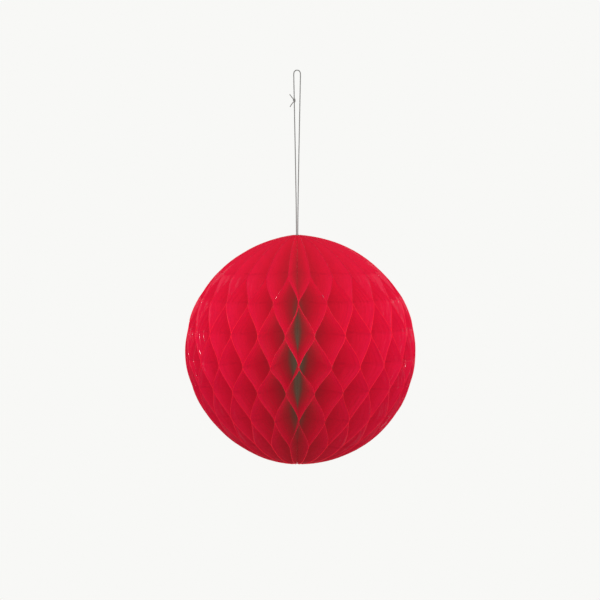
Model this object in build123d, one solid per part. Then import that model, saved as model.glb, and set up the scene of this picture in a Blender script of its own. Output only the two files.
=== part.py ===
"""Paper honeycomb ball on a hanging string.

Half-disc sheets of tissue stand round a vertical spine like the pages of a book
opened right round. Each sheet is glued to its two neighbours along level lines
that take turns, so it zigzags between them and leaves diamond cells that open
outwards. Above the top line and below the bottom one it runs on to the pole. A
half-disc of board is glued to the first and to the last sheet, and adhesive pads
hold the two boards back to back at the rear.

Frame: origin where the string's loop hangs on its hook, +Z up along the spine,
the closing seam at +Y and the front of the ball at -Y. Millimetres and degrees.
"""

import os
from math import cos, pi, radians, sin, sqrt, tan

from build123d import *

# The ball
ball_diameter = 203.2
sheet_count = 48  # even, so that half of the sheets lie on each side of the front
glue_line_pitch = 25.4
first_glue_line_below_pole = 31.4

# Tissue and glue
tissue_thickness = 0.10
glue_thickness = 0.02

# Spine: the bead of glue that binds the straight edges of the sheets
spine_radius = 1.2
spine_clearance = 0.06
spine_end_below_pole = 6.0

# Boards and the pads between them
card_thickness = 0.4
card_edge_to_spine = 8.5
card_corner_radius = 1.5
pad_thickness = 0.3
pad_width = 12.0
pad_height = 25.0
pad_height_from_middle = 50.0
pad_to_card_rim = 4.0

# Hanging string: from the spine's top up one strand, over the hook and down the other
thread_diameter = 0.9
string_points = [
    (-0.55, 0, -150.55),
    (-0.55, 0, -124.55),
    (-3.0, 0, -1.35),
    (-1.25, 0, 0.45),
    (1.25, 0, 0.45),
    (3.0, 0, -1.35),
    (0.55, 0, -124.55),
    (0.55, 0, -150.55),
]
bend_share = 0.45  # of the shorter run beside a bend that its arc may use

# Knot that closes the string into a loop, on its left strand
knot_run = 1  # the run of the string that carries the knot, counted from 0
knot_place = 0.8  # along that run, from 0 at its foot to 1 at its top
knot_length = 3.4
knot_diameter = 2.5
tail_length = 7.0
tail_angle = 28.0

ball_radius = ball_diameter / 2
half_count = sheet_count // 2
ray_angle = 180.0 / half_count
sheet_inner_radius = spine_radius + spine_clearance
spine_half_length = ball_radius - spine_end_below_pole
ball_centre_height = string_points[0][2] - spine_half_length
card_face_x = pad_thickness / 2  # each board's seam face, from the seam plane
card_tissue_face_x = card_face_x + card_thickness
sheet_to_ray = (tissue_thickness + glue_thickness) / 2
sheet_to_card_ray = card_tissue_face_x + glue_thickness + tissue_thickness / 2


def glue_lines():
    """Each glue line's number and height, from the top one, number 1, down."""
    count = int((ball_diameter - first_glue_line_below_pole) // glue_line_pitch) + 1
    top = ball_radius - first_glue_line_below_pole
    return [(i + 1, top - glue_line_pitch * i) for i in range(count)]


def radial_plane(angle, height):
    """A level plane whose x runs outwards at an angle from the front, towards +X."""
    outwards = (sin(radians(angle)), -cos(radians(angle)), 0)
    return Plane(origin=(0, 0, height), x_dir=outwards, z_dir=(0, 0, 1))


def sheet_line(ray, side, beside_card):
    """A sheet's level line beside a ray, on its high (1) or low (-1) side.

    It runs straight out, except that the sheet which carries a board steps round
    the board's inner edge.
    """
    reach = ball_radius + glue_line_pitch
    if not beside_card:
        return [(sheet_inner_radius, side * sheet_to_ray), (reach, side * sheet_to_ray)]
    offset = sheet_to_card_ray if abs(ray) == half_count else sheet_to_ray
    return [
        (sheet_inner_radius, side * sheet_to_ray),
        (card_edge_to_spine, side * offset),
        (reach, side * offset),
    ]


def tissue_sheet(low_ray):
    """The sheet from a ray to the next, touching each at alternate glue lines.

    Above its first glue line and below its last it stays on its ray, up to the pole.
    """
    beside_card = low_ray in (-half_count, half_count - 1)
    half = tissue_thickness / 2
    past_pole = ball_radius + glue_line_pitch / 2
    lines = glue_lines()
    lines = [(lines[0][0], past_pole), *lines, (lines[-1][0], -past_pole)]
    strips = []
    for number, height in lines:
        on_low_ray = (low_ray + number) % 2 == 0
        ray = low_ray if on_low_ray else low_ray + 1
        line = sheet_line(ray, 1 if on_low_ray else -1, beside_card)
        outline = [(x, y - half) for x, y in line] + [(x, y + half) for x, y in reversed(line)]
        strips.append(radial_plane(ray * ray_angle, height) * Polygon(*outline, align=None))
    return loft(strips, ruled=True) & Sphere(ball_radius)


def card(side):
    """A board: side 1 is the right-hand one, seen from the front, and -1 the left."""
    blank = Circle(ball_radius) & Pos(ball_radius + card_edge_to_spine, 0) * Rectangle(
        2 * ball_radius, 2 * ball_radius
    )
    blank = fillet(blank.vertices(), card_corner_radius)
    seam_face = Plane(origin=(side * card_face_x, 0, 0), x_dir=(0, 1, 0), z_dir=(side, 0, 0))
    return extrude(seam_face * blank, card_thickness)


def adhesive_pad(level):
    """A double-sided pad in the seam, above (1) or below (-1) the ball's middle."""
    height = level * pad_height_from_middle
    highest = abs(height) + pad_height / 2
    rim = sqrt(ball_radius**2 - highest**2)
    middle = rim - pad_to_card_rim - pad_width / 2
    outline = Pos(middle, height) * RectangleRounded(pad_width, pad_height, pad_width / 6)
    return extrude(Plane.YZ * outline, pad_thickness / 2, both=True)


def spine_core():
    """The bead of set glue that the sheets' straight edges stand round."""
    return Cylinder(spine_radius, 2 * spine_half_length)


def bend_radii(points):
    """The radius of the arc at each inner corner, as large as its runs allow."""
    points = [Vector(*p) for p in points]
    radii = []
    for before, here, after in zip(points, points[1:], points[2:]):
        run = min((here - before).length, (after - here).length)
        turn = (here - before).get_angle(after - here)
        radii.append(bend_share * run / tan(radians(turn / 2)))
    return radii


def hanging_string():
    """The thread, swept along its straight runs and tangent arcs."""
    radii = bend_radii(string_points)
    path = FilletPolyline(*string_points, radius=radii)
    foot = Plane(origin=string_points[0], z_dir=(0, 0, 1))
    thread = sweep(foot * Circle(thread_diameter / 2), path=path)
    section = pi * thread_diameter**2 / 4
    print("string bend radii", [round(radius, 2) for radius in radii])
    print("string length", round(path.length, 2), "by volume", round(thread.volume / section, 2))
    return thread


def string_knot(thread):
    """An overhand knot round the thread, with its two cut tails."""
    foot, top = (Vector(*point) for point in string_points[knot_run : knot_run + 2])
    centre = foot + (top - foot) * knot_place
    ball = scale(Sphere(knot_diameter / 2), (1, 1, knot_length / knot_diameter))
    knot = Plane(origin=centre, z_dir=(top - foot).normalized()) * ball
    for way in (1, -1):
        lean = Vector(-sin(radians(tail_angle)), 0, way * cos(radians(tail_angle)))
        tail = Cylinder(
            thread_diameter / 2, tail_length, align=(Align.CENTER, Align.CENTER, Align.MIN)
        )
        knot += Plane(origin=centre, z_dir=lean) * tail
    return knot - thread


def model():
    """Every piece by the name of its node. The string's foot stands on the spine's top."""
    thread = hanging_string()
    ball = {
        "spine_core": spine_core(),
        "card_left": card(-1),
        "card_right": card(1),
        "adhesive_pad_upper": adhesive_pad(1),
        "adhesive_pad_lower": adhesive_pad(-1),
    }
    for number in range(sheet_count):
        ball[f"tissue_sheet_{number + 1:02d}"] = tissue_sheet(number - half_count)
    pieces = {name: Pos(0, 0, ball_centre_height) * piece for name, piece in ball.items()}
    return pieces | {"hanging_string": thread, "string_knot": string_knot(thread)}


os.makedirs("parts", exist_ok=True)
for name, piece in model().items():
    export_step(piece, f"parts/{name}.step")
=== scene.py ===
"""A red tissue honeycomb ball, hanging on a white thread in a pale studio."""

import math
import random

import bmesh
import bpy
from mathutils import Matrix, Vector, noise


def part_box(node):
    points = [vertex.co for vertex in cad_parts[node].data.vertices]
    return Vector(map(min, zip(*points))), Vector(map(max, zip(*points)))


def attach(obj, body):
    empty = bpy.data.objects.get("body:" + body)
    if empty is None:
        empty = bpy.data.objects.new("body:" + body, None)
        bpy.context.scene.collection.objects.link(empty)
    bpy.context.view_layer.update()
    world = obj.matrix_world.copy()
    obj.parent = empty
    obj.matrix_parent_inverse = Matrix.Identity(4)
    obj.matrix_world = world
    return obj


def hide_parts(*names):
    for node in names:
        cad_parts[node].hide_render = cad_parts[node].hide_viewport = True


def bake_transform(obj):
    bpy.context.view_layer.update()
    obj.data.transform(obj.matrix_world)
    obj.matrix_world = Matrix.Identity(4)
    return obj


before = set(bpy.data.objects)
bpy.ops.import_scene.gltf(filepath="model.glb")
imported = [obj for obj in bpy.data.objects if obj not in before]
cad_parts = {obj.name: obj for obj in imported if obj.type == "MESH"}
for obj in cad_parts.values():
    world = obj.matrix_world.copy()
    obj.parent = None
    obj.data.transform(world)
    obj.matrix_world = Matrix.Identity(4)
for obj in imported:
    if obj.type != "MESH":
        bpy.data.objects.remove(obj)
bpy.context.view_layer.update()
MM = 0.001
noise.seed_set(1)  # the same unevenness each time

# ---------------------------------------------------------------- sizes taken from the frame
spine_low, spine_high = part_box("spine_core")
board_low, board_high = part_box("card_right")
BALL_RADIUS = board_high.y
BALL_CENTRE = Vector((0, 0, (spine_low.z + spine_high.z) / 2))
SPINE_RADIUS = spine_high.x
SHEETS = sum(name.startswith("tissue_sheet_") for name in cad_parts)
HALF = SHEETS // 2
RAY_ANGLE = math.pi / HALF

# ---------------------------------------------------------------- sizes of the tissue
GLUE_PITCH = 25.4 * MM
GLUE_LINES = 7
TOP_GLUE_LINE = BALL_RADIUS - 31.4 * MM  # above the ball's centre
GLUE_LINE_WIDTH = 2.2 * MM
TISSUE_THICKNESS = 0.09 * MM
INNER_EDGE = SPINE_RADIUS + 0.06 * MM
GLUED_OFFSET = 0.06 * MM  # from a glue line's middle to the middle of each tissue there
BOARD_OFFSET = board_high.x + 0.17 * MM  # from the seam to the tissue glued to a board
BOARD_INNER_EDGE = board_low.y


# ---------------------------------------------------------------- helpers
def colour(hex_code):
    """An sRGB hex colour as linear RGBA."""
    channels = [int(hex_code[i : i + 2], 16) / 255 for i in (0, 2, 4)]
    linear = [c / 12.92 if c <= 0.04045 else ((c + 0.055) / 1.055) ** 2.4 for c in channels]
    return (*linear, 1.0)


def add_node(tree, kind, inputs=None, stops=(), **settings):
    """Adds a node with its settings, its colour stops, and its inputs set or linked.

    An input may be given a value, an output socket, or a node, whose first output in use it takes.
    """
    made = tree.nodes.new(kind)
    for name, value in settings.items():
        setattr(made, name, value)
    for socket, value in (inputs or {}).items():
        if isinstance(value, bpy.types.Node):
            value = next(output for output in value.outputs if output.enabled)
        if isinstance(value, bpy.types.NodeSocket):
            tree.links.new(value, made.inputs[socket])
        else:
            made.inputs[socket].default_value = value
    if stops:
        elements = made.color_ramp.elements
        while len(elements) < len(stops):
            elements.new(1.0)
        for element, (position, hex_code) in zip(elements, stops):
            element.position = position
            element.color = colour(hex_code)
    return made


def new_material(name):
    """An empty node material and its tree."""
    material = bpy.data.materials.new(name)
    material.use_nodes = True
    material.node_tree.nodes.clear()
    return material, material.node_tree


def length_of(tree, *parts):
    """The length of a vector from its two parts."""
    squares = [
        add_node(tree, "ShaderNodeMath", {0: part, 1: part}, operation="MULTIPLY") for part in parts
    ]
    total = add_node(tree, "ShaderNodeMath", dict(enumerate(squares)), operation="ADD")
    return add_node(tree, "ShaderNodeMath", {0: total}, operation="SQRT")


def finish_piece(name, bm, material):
    """Turns a bmesh into an object of that name and material, and links it."""
    mesh = bpy.data.meshes.new(name)
    bm.to_mesh(mesh)
    bm.free()
    mesh.materials.append(material)
    piece = bpy.data.objects.new(name, mesh)
    bpy.context.scene.collection.objects.link(piece)
    return piece


# ---------------------------------------------------------------- camera
def make_camera():
    """A long lens 3 m off, 5 degrees above the ball, aimed a little above it."""
    distance = 3.0
    elevation = math.radians(5.0)
    azimuth = math.radians(-1.0)
    aside = 2.55 * MM  # how far to the right of the ball's middle it stands and aims
    aim_above = 43.9 * MM
    data = bpy.data.cameras.new("camera")
    data.lens = 203.4
    data.sensor_width = 36.0
    data.clip_end = 50.0
    camera = bpy.data.objects.new("camera", data)
    bpy.context.scene.collection.objects.link(camera)
    out = Vector((math.sin(azimuth), -math.cos(azimuth), 0)) * math.cos(elevation)
    out.z = math.sin(elevation)
    across = Vector((math.cos(azimuth), math.sin(azimuth), 0))
    camera.location = BALL_CENTRE + out * distance + across * aside
    aim = BALL_CENTRE + across * aside + Vector((0, 0, aim_above))
    camera.rotation_euler = (aim - camera.location).to_track_quat("-Z", "Y").to_euler()
    bpy.context.scene.camera = camera


make_camera()


# ---------------------------------------------------------------- materials
CLOUD_SPACING = 9 * MM  # between the dye's paler and darker clouds
FIBRE_SPACING = 0.8 * MM  # the paper's fibres, drawn coarser than they are so that they show
MOTTLE_SPACING = 6 * MM
FLECK_SPACING = 3 * MM
FOAM_CELL = 0.6 * MM
GLUE_BEAD = 2.5 * MM
LINT_SPACING = 0.35 * MM


def dyed_tissue():
    """Machine-glazed tissue, dyed red: thin, fibrous, faintly glossy, glowing where light passes, with a
    painted glow besides.

    Deep in the cells it is painted a dull brown, and the red painted darker inwards, as painted shade.
    The piece's UV map holds the flat sheet: U runs out from the spine, V up from the bottom.
    """
    material, tree = new_material("dyed_glazed_tissue")

    # Places on the flat sheet, as shares of the ball's radius, and in millimetres from its rim
    flat = add_node(tree, "ShaderNodeUVMap", uv_map="flat_sheet")
    split = add_node(tree, "ShaderNodeSeparateXYZ", {"Vector": flat})
    out = add_node(tree, "ShaderNodeMath", {0: split.outputs["X"], 1: 2.0}, operation="MULTIPLY")
    up = add_node(
        tree, "ShaderNodeMath", {0: split.outputs["Y"], 1: 2.0, 2: -1.0}, operation="MULTIPLY_ADD"
    )
    from_centre = length_of(tree, out, up)
    radius_mm = BALL_RADIUS / MM
    to_rim = add_node(
        tree, "ShaderNodeMath", {0: from_centre, 1: -radius_mm, 2: radius_mm}, operation="MULTIPLY_ADD"
    )

    # The red dye with painted shade: painted dull brown deep in the cells and darker red inwards,
    # brightest at the rim, with clouds and fibres in it
    lowered = add_node(tree, "ShaderNodeMath", {0: up, 1: 0.55, 2: 0.08}, operation="MULTIPLY_ADD")
    dye_with_painted_depth_shade = add_node(
        tree,
        "ShaderNodeValToRGB",
        {"Fac": length_of(tree, out, lowered)},
        stops=[(0.14, "826b5a"), (0.24, "8a584b"), (0.37, "b4343d"), (0.65, "cb2643"), (1.0, "dc204d")],
    )
    spot = add_node(tree, "ShaderNodeTexCoord").outputs["Object"]
    clouds = add_node(
        tree, "ShaderNodeTexNoise", {"Vector": spot, "Scale": 1 / CLOUD_SPACING, "Detail": 3.0}
    )
    fibres = add_node(
        tree, "ShaderNodeTexNoise", {"Vector": spot, "Scale": 1 / FIBRE_SPACING, "Detail": 2.0}
    )
    grain = add_node(tree, "ShaderNodeMath", {0: clouds, 1: 0.10, 2: 0.93}, operation="MULTIPLY_ADD")
    grain = add_node(tree, "ShaderNodeMath", {0: fibres, 1: 0.06, 2: grain}, operation="MULTIPLY_ADD")
    grey = add_node(tree, "ShaderNodeCombineColor", {"Red": grain, "Green": grain, "Blue": grain})
    body = add_node(
        tree, "ShaderNodeMix", {0: 1.0, 6: dye_with_painted_depth_shade, 7: grey}, data_type="RGBA", blend_type="MULTIPLY"
    )

    # Painted highlight along the cut edge, brightest on the sheets at the front and the back, and
    # painted darker near the top pole as painted shade
    painted_edge_highlight = add_node(
        tree,
        "ShaderNodeMapRange",
        {"Value": to_rim, "From Min": 0.3, "From Max": 1.0, "To Min": 0.85, "To Max": 0.0},
        interpolation_type="SMOOTHSTEP",
    )
    painted_highlight_colour = add_node(
        tree,
        "ShaderNodeValToRGB",
        {"Fac": split.outputs["Y"]},
        stops=[(0.0, "f0304c"), (0.65, "ff3a50"), (0.8, "c01438")],
    )
    place = add_node(tree, "ShaderNodeSeparateXYZ", {"Vector": spot})
    sheet_turn = add_node(
        tree, "ShaderNodeMath", {0: place.outputs["X"], 1: place.outputs["Y"]}, operation="ARCTAN2"
    )
    front_highlight_share = add_node(tree, "ShaderNodeMath", {0: sheet_turn}, operation="COSINE")
    front_highlight_share = add_node(tree, "ShaderNodeMath", {0: front_highlight_share, 1: 2.0}, operation="POWER")
    front_highlight_share = add_node(tree, "ShaderNodeMath", {0: front_highlight_share, 1: 0.85, 2: 0.15}, operation="MULTIPLY_ADD")
    painted_edge_highlight = add_node(tree, "ShaderNodeMath", {0: painted_edge_highlight, 1: front_highlight_share}, operation="MULTIPLY")
    body = add_node(tree, "ShaderNodeMix", {0: painted_edge_highlight, 6: body, 7: painted_highlight_colour}, data_type="RGBA")

    # Patchy dark marks along the glue lines
    lines_down = add_node(
        tree,
        "ShaderNodeMath",
        {0: up, 1: -BALL_RADIUS / GLUE_PITCH, 2: TOP_GLUE_LINE / GLUE_PITCH},
        operation="MULTIPLY_ADD",
    )
    from_glue = add_node(tree, "ShaderNodeMath", {0: lines_down, 1: 0.5}, operation="PINGPONG")
    mark_core, mark_edge = 0.5 * MM / GLUE_PITCH, 1.3 * MM / GLUE_PITCH
    glue_mark = add_node(
        tree,
        "ShaderNodeMapRange",
        {
            "Value": from_glue,
            "From Min": mark_core,
            "From Max": mark_edge,
            "To Min": 0.12,
            "To Max": 0.0,
        },
        interpolation_type="SMOOTHSTEP",
    )
    patchy = add_node(tree, "ShaderNodeMapRange", {"Value": clouds, "From Min": 0.4, "From Max": 0.6})
    glued = add_node(
        tree, "ShaderNodeMath", {0: up, 1: (TOP_GLUE_LINE + 2 * MM) / BALL_RADIUS}, operation="LESS_THAN"
    )
    for mask in (patchy, glued):
        glue_mark = add_node(tree, "ShaderNodeMath", {0: glue_mark, 1: mask}, operation="MULTIPLY")
    body = add_node(
        tree, "ShaderNodeMix", {0: glue_mark, 6: body, 7: colour("8c1428")}, data_type="RGBA"
    )

    # Creases that follow the rim, deeper near it and fainter towards the top pole
    slope = add_node(tree, "ShaderNodeMath", {0: up, 1: out}, operation="ARCTAN2")
    across_creases, along_creases = BALL_RADIUS / (3 * MM), BALL_RADIUS / (30 * MM)
    streak = [
        add_node(tree, "ShaderNodeMath", {0: value, 1: factor}, operation="MULTIPLY")
        for value, factor in ((from_centre, across_creases), (slope, along_creases), (sheet_turn, 6.0))
    ]
    streak = add_node(tree, "ShaderNodeCombineXYZ", dict(zip("XYZ", streak)))
    creases = add_node(tree, "ShaderNodeTexNoise", {"Vector": streak, "Scale": 1.0, "Detail": 1.5})
    near_rim = add_node(
        tree,
        "ShaderNodeMapRange",
        {"Value": from_centre, "From Min": 0.7, "From Max": 1.0, "To Min": 0.25, "To Max": 1.0},
    )
    below_pole = add_node(
        tree,
        "ShaderNodeMapRange",
        {"Value": up, "From Min": 0.5, "From Max": 0.8, "To Min": 1.0, "To Max": 0.25},
    )
    curl = creases
    for mask in (near_rim, below_pole):
        curl = add_node(tree, "ShaderNodeMath", {0: curl, 1: mask}, operation="MULTIPLY")
    bump = add_node(tree, "ShaderNodeBump", {"Height": curl, "Strength": 1.0, "Distance": 1.9 * MM})
    bump = add_node(
        tree,
        "ShaderNodeBump",
        {"Height": fibres, "Strength": 0.1, "Distance": 0.05 * MM, "Normal": bump},
    )

    # Painted glow: emission standing in for light that seeps through the sheets, painted stronger
    # towards the top and weaker low down
    painted_glow_gain = add_node(
        tree,
        "ShaderNodeMapRange",
        {"Value": up, "From Min": -0.2, "From Max": 0.95, "To Min": 0.9, "To Max": 1.5},
    )
    painted_glow_gain = add_node(tree, "ShaderNodeCombineColor", {"Red": painted_glow_gain, "Green": painted_glow_gain, "Blue": painted_glow_gain})
    painted_glow = add_node(
        tree, "ShaderNodeMix", {0: 1.0, 6: body, 7: painted_glow_gain}, data_type="RGBA", blend_type="MULTIPLY"
    )
    sheet = add_node(
        tree,
        "ShaderNodeBsdfPrincipled",
        {
            "Base Color": body,
            "Roughness": 0.12,
            "Specular IOR Level": 0.5,
            "Emission Color": painted_glow,
            "Emission Strength": 0.5,
            "Normal": bump,
        },
    )
    glow = add_node(tree, "ShaderNodeBsdfTranslucent", {"Color": body})
    mixed = add_node(tree, "ShaderNodeMixShader", {0: 0.45, 1: sheet, 2: glow})
    add_node(tree, "ShaderNodeOutputMaterial", {"Surface": mixed})
    return material


def greyboard():
    """Recycled grey board: matte, mottled, with short dark and light fibres."""
    material, tree = new_material("recycled_greyboard")
    spot = add_node(tree, "ShaderNodeTexCoord").outputs["Object"]
    mottle = add_node(
        tree, "ShaderNodeTexNoise", {"Vector": spot, "Scale": 1 / MOTTLE_SPACING, "Detail": 4.0}
    )
    stretch = add_node(tree, "ShaderNodeMapping", {"Vector": spot, "Scale": (1.0, 1.0, 5.0)})
    fleck = add_node(
        tree, "ShaderNodeTexNoise", {"Vector": stretch, "Scale": 1 / FLECK_SPACING, "Detail": 6.0}
    )
    base = add_node(
        tree, "ShaderNodeValToRGB", {"Fac": mottle}, stops=[(0.3, "a39a8b"), (0.7, "b7ae9f")]
    )
    flecks = add_node(
        tree,
        "ShaderNodeValToRGB",
        {"Fac": fleck},
        stops=[(0.30, "6f675c"), (0.42, "ffffff"), (0.68, "ffffff"), (0.8, "e8e0d0")],
    )
    body = add_node(
        tree, "ShaderNodeMix", {0: 0.6, 6: base, 7: flecks}, data_type="RGBA", blend_type="MULTIPLY"
    )
    bump = add_node(tree, "ShaderNodeBump", {"Height": fleck, "Strength": 0.3, "Distance": 0.1 * MM})
    board = add_node(
        tree,
        "ShaderNodeBsdfPrincipled",
        {"Base Color": body, "Roughness": 0.9, "Specular IOR Level": 0.2, "Normal": bump},
    )
    add_node(tree, "ShaderNodeOutputMaterial", {"Surface": board})
    return material


def foam_pad():
    """White double-sided foam tape: closed cells, matte, slightly yellowed."""
    material, tree = new_material("white_foam_tape")
    spot = add_node(tree, "ShaderNodeTexCoord").outputs["Object"]
    cells = add_node(tree, "ShaderNodeTexVoronoi", {"Vector": spot, "Scale": 1 / FOAM_CELL})
    body = add_node(
        tree, "ShaderNodeValToRGB", {"Fac": cells}, stops=[(0.0, "f1eee4"), (0.8, "dcd7c8")]
    )
    bump = add_node(tree, "ShaderNodeBump", {"Height": cells, "Strength": 0.4, "Distance": 0.1 * MM})
    foam = add_node(
        tree, "ShaderNodeBsdfPrincipled", {"Base Color": body, "Roughness": 0.75, "Normal": bump}
    )
    add_node(tree, "ShaderNodeOutputMaterial", {"Surface": foam})
    return material


def set_glue():
    """Set white glue with tissue soaked into it: hard, waxy, stained brown-red."""
    material, tree = new_material("set_white_glue")
    spot = add_node(tree, "ShaderNodeTexCoord").outputs["Object"]
    beads = add_node(
        tree, "ShaderNodeTexNoise", {"Vector": spot, "Scale": 1 / GLUE_BEAD, "Detail": 3.0}
    )
    body = add_node(
        tree, "ShaderNodeValToRGB", {"Fac": beads}, stops=[(0.3, "6b5140"), (0.7, "a08a70")]
    )
    bump = add_node(tree, "ShaderNodeBump", {"Height": beads, "Strength": 0.5, "Distance": 0.3 * MM})
    glue = add_node(
        tree, "ShaderNodeBsdfPrincipled", {"Base Color": body, "Roughness": 0.4, "Normal": bump}
    )
    add_node(tree, "ShaderNodeOutputMaterial", {"Surface": glue})
    return material


def twisted_cotton():
    """White three-ply cotton thread: matte, with fine fibres along its plies."""
    material, tree = new_material("twisted_cotton_thread")
    spot = add_node(tree, "ShaderNodeTexCoord").outputs["Object"]
    lint = add_node(
        tree, "ShaderNodeTexNoise", {"Vector": spot, "Scale": 1 / LINT_SPACING, "Detail": 4.0}
    )
    body = add_node(
        tree, "ShaderNodeValToRGB", {"Fac": lint}, stops=[(0.3, "83827f"), (0.7, "b0afac")]
    )
    bump = add_node(tree, "ShaderNodeBump", {"Height": lint, "Strength": 0.5, "Distance": 0.05 * MM})
    cotton = add_node(
        tree,
        "ShaderNodeBsdfPrincipled",
        {
            "Base Color": body,
            "Roughness": 0.85,
            "Specular IOR Level": 0.2,
            "Sheen Weight": 0.3,
            "Normal": bump,
        },
    )
    add_node(tree, "ShaderNodeOutputMaterial", {"Surface": cotton})
    return material


TISSUE = dyed_tissue()
BOARD = greyboard()
FOAM = foam_pad()
GLUE = set_glue()
COTTON = twisted_cotton()

# ---------------------------------------------------------------- string
THREAD_DIAMETER = 0.9 * MM
PLY_LAY = 3.0 * MM  # the length in which a ply goes once round
STRING_POINTS = [
    (-0.55, 0, -150.55),
    (-0.55, 0, -124.55),
    (-2.89, 0, -6.9),
    (-3.0, 0, -1.35),
    (-1.25, 0, 0.45),
    (1.25, 0, 0.45),
    (3.0, 0, -1.35),
    (2.89, 0, -6.9),
    (0.55, 0, -124.55),
    (0.55, 0, -150.55),
]


def add_nurbs(curve, points):
    """Adds a NURBS line to a curve, its control points given in millimetres."""
    spline = curve.splines.new("NURBS")
    spline.points.add(len(points) - 1)
    for made, place in zip(spline.points, points):
        made.co = (place[0] * MM, place[1] * MM, place[2] * MM, 1)
    spline.order_u = 3
    spline.use_endpoint_u = True


def mesh_of(curve):
    """A curve's shape as a mesh."""
    holder = bpy.data.objects.new("route", curve)
    bpy.context.scene.collection.objects.link(holder)
    bpy.context.view_layer.update()
    mesh = bpy.data.meshes.new_from_object(holder.evaluated_get(bpy.context.evaluated_depsgraph_get()))
    bpy.data.objects.remove(holder)
    return mesh


def smooth_line(points):
    """The points of a NURBS line whose control points are given in millimetres."""
    curve = bpy.data.curves.new("route", "CURVE")
    curve.dimensions = "3D"
    curve.resolution_u = 64
    add_nurbs(curve, points)
    line = mesh_of(curve)
    path = [vertex.co.copy() for vertex in line.vertices]
    bpy.data.meshes.remove(line)
    return path


def evenly_spaced(path, step):
    """The same path, walked in equal steps."""
    spots = [path[0]]
    left = step
    for here, there in zip(path, path[1:]):
        run = (there - here).length
        gone = left
        while gone <= run:
            spots.append(here.lerp(there, gone / run))
            gone += step
        left = gone - run
    if (spots[-1] - path[-1]).length > step / 2:
        spots.append(path[-1])
    else:
        spots[-1] = path[-1]
    return spots


def twisted_thread(name, path, diameter, lay):
    """Three plies twisted together, swept along a path that lies in the XZ plane."""
    plies = 3
    around = 18
    groove, swell = 0.94, 0.16  # shares of the radius: how low it is between plies, and their rise
    bm = bmesh.new()
    ring = bmesh.ops.create_circle(bm, segments=around, radius=1.0)["verts"]
    for vertex in ring:
        turn = math.atan2(vertex.co.y, vertex.co.x)
        vertex.co *= groove + swell * abs(math.cos(turn * plies / 2))
    shape = [vertex.co * diameter / 2 for vertex in ring]
    edges = bm.edges[:]
    gone = 0.0
    for index, spot in enumerate(path):
        ahead = path[min(index + 1, len(path) - 1)] - path[max(index - 1, 0)]
        ahead.normalize()
        side = Vector((0, 1, 0))
        other = ahead.cross(side)
        if index:
            gone += (spot - path[index - 1]).length
            made = bmesh.ops.extrude_edge_only(bm, edges=edges)["geom"]
            edges = [item for item in made if isinstance(item, bmesh.types.BMEdge)]
            ring = [item for item in made if isinstance(item, bmesh.types.BMVert)]
        spin = Matrix.Rotation(2 * math.pi * gone / lay, 3, "Z")
        for vertex, corner in zip(ring, shape):
            turned = spin @ corner
            vertex.co = spot + side * turned.x + other * turned.y
    bmesh.ops.holes_fill(bm, edges=[edge for edge in bm.edges if edge.is_boundary], sides=0)
    bmesh.ops.recalc_face_normals(bm, faces=bm.faces)
    for face in bm.faces:
        face.smooth = len(face.verts) == 4
    return finish_piece(name, bm, COTTON)


def overhand_knot(name, centre, along):
    """A small overhand knot on one strand, its two cut tails sticking out to the left."""
    curve = bpy.data.curves.new(name, "CURVE")
    curve.dimensions = "3D"
    curve.bevel_depth = THREAD_DIAMETER * 0.46
    curve.bevel_resolution = 3
    curve.resolution_u = 6
    upper = [
        (-3.9, 0.1, 5.6), (-2.0, 0.2, 2.6), (-0.3, 0.75, 0.9), (0.9, 0.3, 0.2), (0.5, -0.8, -0.4),
        (-0.7, -0.6, -0.2), (-0.8, 0.6, 0.4), (0.5, 0.9, -0.5), (0.7, 0.0, -1.2),
    ]
    lower = [
        (-3.9, -0.1, -5.6), (-2.0, -0.2, -2.6), (-0.3, -0.75, -0.9), (0.9, -0.3, -0.2), (0.6, 0.8, 0.5),
        (-0.6, 0.7, 0.7), (-0.9, -0.5, 0.9), (0.2, -0.9, 1.1), (0.8, 0.0, 1.2),
    ]
    for points in (upper, lower):
        add_nurbs(curve, points)
    curve.use_fill_caps = True
    mesh = mesh_of(curve)
    bm = bmesh.new()
    bm.from_mesh(mesh)
    bpy.data.meshes.remove(mesh)
    turn = Vector((0, 0, 1)).rotation_difference(along).to_matrix().to_4x4()
    bmesh.ops.transform(bm, matrix=Matrix.Translation(centre) @ turn, verts=bm.verts)
    for face in bm.faces:
        face.smooth = True
    return finish_piece(name, bm, COTTON)


string_path = evenly_spaced(smooth_line(STRING_POINTS), 0.4 * MM)
string = twisted_thread("hanging_thread", string_path, THREAD_DIAMETER, PLY_LAY)
knot_low, knot_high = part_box("string_knot")
knot_height = (knot_low.z + knot_high.z) / 2
left_strand = string_path[: len(string_path) // 2]
knot_place = min(left_strand, key=lambda spot: abs(spot.z - knot_height))
knot_next = left_strand[left_strand.index(knot_place) + 1]
knot = overhand_knot("thread_knot", knot_place, (knot_next - knot_place).normalized())
for piece, node in ((string, "hanging_string"), (knot, "string_knot")):
    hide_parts(node)
    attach(piece, "hanger")


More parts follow.
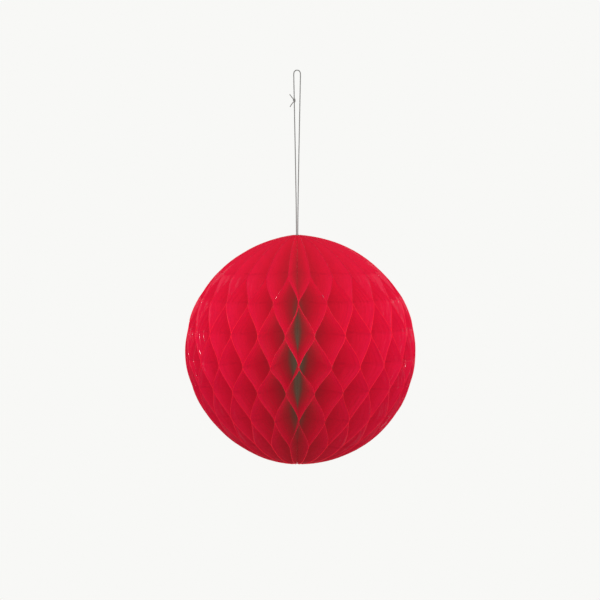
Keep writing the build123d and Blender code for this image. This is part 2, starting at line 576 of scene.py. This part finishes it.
# ---------------------------------------------------------------- tissue sheets
GLUE_LINE_DRIFT = (2.0, 3.0, 0.0, -1.3, 1.8, 1.4, 0.0)  # mm, at the rim, from the top line down
CELL_SHARES = (0.0, 0.043, 0.09, 0.16, 0.25, 0.36, 0.5, 0.64, 0.75, 0.84, 0.91, 0.957)
RADIAL_SHARES = (
    0, 0.05, 0.11, 0.18, 0.26, 0.34, 0.42, 0.5, 0.58, 0.66, 0.74, 0.81, 0.87, 0.92, 0.96, 0.985, 1,
)
POLE_ANGLES = (1, 4, 7, 10, 13, 16, 19, 22, 26, 30, 34, 38, 42)  # degrees from a pole
LEAN = 2.85 * MM  # how far the open ball sags to the right of its spine
BILLOW = 1.1 * MM  # how far a cell wall may swell out of its straight line
RIPPLE = 0.7  # mm, how far it may ripple besides
RIPPLE_SPACING = 14 * MM
ROUNDNESS = 0.35  # 0 for straight cell walls and 1 for walls that curve from glue line to glue line
CLOSED_INSIDE = 9.0 * MM  # how far above its glue line a cell's lower corner is shut, deep inside
INSIDE_SHARE = 0.75  # of the ball's radius, where the lower corners start to shut
WANDER_AROUND = 2.2  # mm, how far the rim strays round the ball
WANDER_UP = 1.2  # mm, how far it strays up and down
WANDER_SPACING = 55 * MM
WANDER_START = Vector((3, 1, 7))
CALM_ANGLE = math.radians(70)  # from the seam, the angle within which the sheets lie more evenly
SHARP_EDGE = math.radians(50)

# How deep the ball's outline is pressed in, in mm, at every 15 degrees from the bottom to the top
DENTS_LEFT = (0, 0.8, 1.9, 2.1, 0.7, -0.3, -0.4, -0.1, 3.0, 3.4, 3.5, 2.3, 0.4)
DENTS_RIGHT = (0, -0.6, -1.3, -1.6, -1.9, -0.8, -0.3, -0.35, 1.6, 1.4, 1.2, 0.9, 0.5)


def row_heights():
    """The heights of a sheet's rows, from the bottom up: close together at glue lines and poles."""
    short_of_pole = 0.01 * MM
    least_gap = 0.25 * MM
    top = math.sqrt(BALL_RADIUS**2 - INNER_EDGE**2) - short_of_pole
    low_line = TOP_GLUE_LINE - (GLUE_LINES - 1) * GLUE_PITCH
    levels = [
        TOP_GLUE_LINE - (cell + share) * GLUE_PITCH
        for cell in range(GLUE_LINES - 1)
        for share in CELL_SHARES
    ]
    poles = [BALL_RADIUS * math.cos(math.radians(angle)) for angle in POLE_ANGLES]
    levels += [z for z in poles if z > TOP_GLUE_LINE] + [-z for z in poles if -z < low_line]
    levels += [low_line, top, -top]
    rows = []
    for z in sorted(levels):
        if not rows or z - rows[-1] > least_gap:
            rows.append(z)
    return rows


def glue_line_at(z):
    """Where a height lies among the glue lines: 0 at the top one, 1 at the next, and so on."""
    return min(max((TOP_GLUE_LINE - z) / GLUE_PITCH, 0.0), GLUE_LINES - 1.0)


def wall_share(low_ray, z, out):
    """How far a sheet has crossed from its low ray, 0, to the next, 1, at a height and depth."""
    line = glue_line_at(z)
    number = math.floor(line)
    inside = max(0.0, 1 - out / BALL_RADIUS / INSIDE_SHARE)
    flat = GLUE_LINE_WIDTH / 2 / GLUE_PITCH
    shut = flat + CLOSED_INSIDE * inside / GLUE_PITCH
    t = min(max((line - number - flat) / (1 - flat - shut), 0.0), 1.0)
    t += ROUNDNESS * (t * t * (3 - 2 * t) - t)
    return t if (low_ray + number) % 2 else 1 - t


def read_between(values, spot):
    """The value at a spot along evenly spaced values, 0 at the first and 1 at the second."""
    low = min(math.floor(spot), len(values) - 2)
    return values[low] + (spot - low) * (values[low + 1] - values[low])


def drift(z):
    """How far the glue lines near a height have moved up at the rim."""
    return read_between(GLUE_LINE_DRIFT, glue_line_at(z)) * MM


def dent(place, turn):
    """How far a point is pressed in towards the ball's middle, most on its left and right."""
    dents = DENTS_LEFT if math.sin(turn) < 0 else DENTS_RIGHT
    slope = math.atan2(place.z, Vector((place.x, place.y)).length)
    depth = read_between(dents, (slope / math.pi + 0.5) * (len(dents) - 1))
    return depth * MM * math.sin(turn) ** 2 * (place.length / BALL_RADIUS) ** 2


def evenness(turn):
    """How far sheets may stray at an angle from the front: 1, but 0 beside the boards."""
    return min(1.0, (math.pi - abs(turn)) / CALM_ANGLE) ** 1.5


def settle(place, turn):
    """Where a point of the open ball comes to rest: paper is never quite even."""
    out = Vector((place.x, place.y)).length / BALL_RADIUS
    pole = math.sqrt(max(1 - (place.z / BALL_RADIUS) ** 2, 0.0))
    seam = evenness(turn)
    wander = noise.noise_vector(place / WANDER_SPACING + WANDER_START)
    around = Vector((math.cos(turn), math.sin(turn), 0))
    moved = place + Vector((LEAN * math.sqrt(abs(math.sin(turn))) * out * out * seam, 0, 0))
    moved -= place.normalized() * dent(place, turn)
    moved += around * wander.x * WANDER_AROUND * MM * out * out * seam
    moved.z += (drift(place.z) + wander.z * WANDER_UP * MM) * out * out * pole
    return moved


def tissue_sheet(number):
    """One half-disc of tissue, zigzagging between its rays, and each point's share of the turn."""
    low_ray = number - HALF
    chance = random.Random(number)
    swell = [chance.uniform(-1, 1) * BILLOW for _ in range(GLUE_LINES)]
    phase = chance.uniform(0, 20)
    rows = row_heights()
    bm = bmesh.new()
    bmesh.ops.create_grid(bm, x_segments=len(RADIAL_SHARES) - 1, y_segments=len(rows) - 1, size=0.5)
    share_layer = bm.verts.layers.float.new("turn_share")
    uv_layer = bm.loops.layers.uv.new("flat_sheet")
    flat = {}
    for vertex in bm.verts:
        column = round((vertex.co.x + 0.5) * (len(RADIAL_SHARES) - 1))
        z = rows[round((vertex.co.y + 0.5) * (len(rows) - 1))]
        rim = math.sqrt(BALL_RADIUS**2 - z * z)
        out = INNER_EDGE + (rim - INNER_EDGE) * RADIAL_SHARES[column]
        flat[vertex] = (out / BALL_RADIUS / 2, z / BALL_RADIUS / 2 + 0.5)
        crossed = wall_share(low_ray, z, out)
        turn = (low_ray + crossed) * RAY_ANGLE
        offset = GLUED_OFFSET * (1 - 2 * crossed)
        step_out = min(1.0, (out - INNER_EDGE) / (BOARD_INNER_EDGE - INNER_EDGE))
        offset -= (BOARD_OFFSET - GLUED_OFFSET) * turn / math.pi * step_out
        offset -= TISSUE_THICKNESS / 2  # the thickness is added on the higher side
        line = glue_line_at(z)
        cell = math.floor(line)
        bulge = math.sin(math.pi * (line - cell)) ** 2
        ripple = noise.noise(Vector((out, phase * MM, z)) / RIPPLE_SPACING) * RIPPLE * MM
        offset += (swell[cell] + ripple) * bulge * (out / BALL_RADIUS) ** 1.5 * evenness(turn)
        outwards = Vector((math.sin(turn), -math.cos(turn), 0))
        across = Vector((math.cos(turn), math.sin(turn), 0))
        place = outwards * out + across * offset + Vector((0, 0, z))
        vertex.co = settle(place, turn)
        inner = max(low_ray, -low_ray - 1)
        vertex[share_layer] = (inner + (crossed if low_ray >= 0 else 1 - crossed)) / (inner + 1)
    for face in bm.faces:
        face.smooth = True
        for loop in face.loops:
            loop[uv_layer].uv = flat[loop.vert]
    bmesh.ops.translate(bm, vec=BALL_CENTRE, verts=bm.verts)
    bmesh.ops.solidify(bm, geom=bm.verts[:] + bm.edges[:] + bm.faces[:], thickness=TISSUE_THICKNESS)
    bmesh.ops.recalc_face_normals(bm, faces=bm.faces)
    for edge in bm.edges:
        edge.smooth = edge.calc_face_angle(0.0) < SHARP_EDGE
    shares = [vertex[share_layer] for vertex in bm.verts]
    return finish_piece(f"tissue_{number + 1:02d}", bm, TISSUE), shares


for number in range(SHEETS):
    sheet, shares = tissue_sheet(number)
    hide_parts(f"tissue_sheet_{number + 1:02d}")
    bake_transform(sheet)

# ---------------------------------------------------------------- boards, pads and spine
for name, material in (
    ("card_left", BOARD),
    ("card_right", BOARD),
    ("adhesive_pad_upper", FOAM),
    ("adhesive_pad_lower", FOAM),
    ("spine_core", GLUE),
):
    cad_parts[name].data.materials.clear()
    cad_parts[name].data.materials.append(material)


# ---------------------------------------------------------------- studio
BACKDROP = "f8f8f6"


def backdrop_paint():
    """Grey paint that the camera sees as an even pale backdrop, and through from below."""
    material, tree = new_material("pale_backdrop_paint")
    seen = add_node(tree, "ShaderNodeLightPath").outputs["Is Camera Ray"]
    below = add_node(tree, "ShaderNodeNewGeometry").outputs["Backfacing"]
    paint = add_node(tree, "ShaderNodeBsdfDiffuse", {"Color": colour("a8a8a8")})
    even = add_node(tree, "ShaderNodeEmission", {"Color": colour(BACKDROP)})
    clear = add_node(tree, "ShaderNodeBsdfTransparent")
    mixed = add_node(tree, "ShaderNodeMixShader", {0: seen, 1: paint, 2: even})
    mixed = add_node(tree, "ShaderNodeMixShader", {0: below, 1: mixed, 2: clear})
    add_node(tree, "ShaderNodeOutputMaterial", {"Surface": mixed})
    return material


def make_floor():
    """A wide pale floor, over half a metre under the ball."""
    drop = 0.6
    bm = bmesh.new()
    bmesh.ops.create_circle(bm, cap_ends=True, segments=64, radius=60.0)
    bmesh.ops.translate(bm, vec=(0, 0, BALL_CENTRE.z - drop), verts=bm.verts)
    finish_piece("studio_floor", bm, backdrop_paint())


def add_light(name, place, size, power):
    """A square light at a place round the ball, in metres, aimed at it."""
    data = bpy.data.lights.new(name, "AREA")
    data.size = size
    data.energy = power
    light = bpy.data.objects.new(name, data)
    bpy.context.scene.collection.objects.link(light)
    light.location = BALL_CENTRE + Vector(place)
    light.rotation_euler = (-Vector(place)).to_track_quat("-Z", "Y").to_euler()


def make_world():
    """A soft sky, bright above and dim below, that shows as an even backdrop."""
    world = bpy.data.worlds.new("studio")
    world.use_nodes = True
    tree = world.node_tree
    tree.nodes.clear()
    way = add_node(tree, "ShaderNodeTexCoord").outputs["Generated"]
    up = add_node(tree, "ShaderNodeSeparateXYZ", {"Vector": way}).outputs["Z"]
    height = add_node(tree, "ShaderNodeMath", {0: up, 1: 0.5, 2: 0.5}, operation="MULTIPLY_ADD")
    sky = add_node(
        tree,
        "ShaderNodeValToRGB",
        {"Fac": height},
        stops=[(0.0, "303030"), (0.5, "909090"), (0.85, "d8d8d8")],
    )
    seen = add_node(tree, "ShaderNodeLightPath").outputs["Is Camera Ray"]
    fill = add_node(tree, "ShaderNodeBackground", {"Color": sky, "Strength": 1.0})
    backdrop = add_node(tree, "ShaderNodeBackground", {"Color": colour(BACKDROP), "Strength": 1.0})
    mixed = add_node(tree, "ShaderNodeMixShader", {0: seen, 1: fill, 2: backdrop})
    add_node(tree, "ShaderNodeOutputWorld", {"Surface": mixed})
    bpy.context.scene.world = world


make_floor()
make_world()
add_light("front_softbox", (0.2, -2.6, 0.25), 2.2, 22)
add_light("top_softbox", (0.0, -1.7, 2.1), 2.0, 3)
add_light("top_strip", (0.1, -1.7, 1.95), 0.15, 7)
bpy.context.scene.view_settings.view_transform = "Standard"
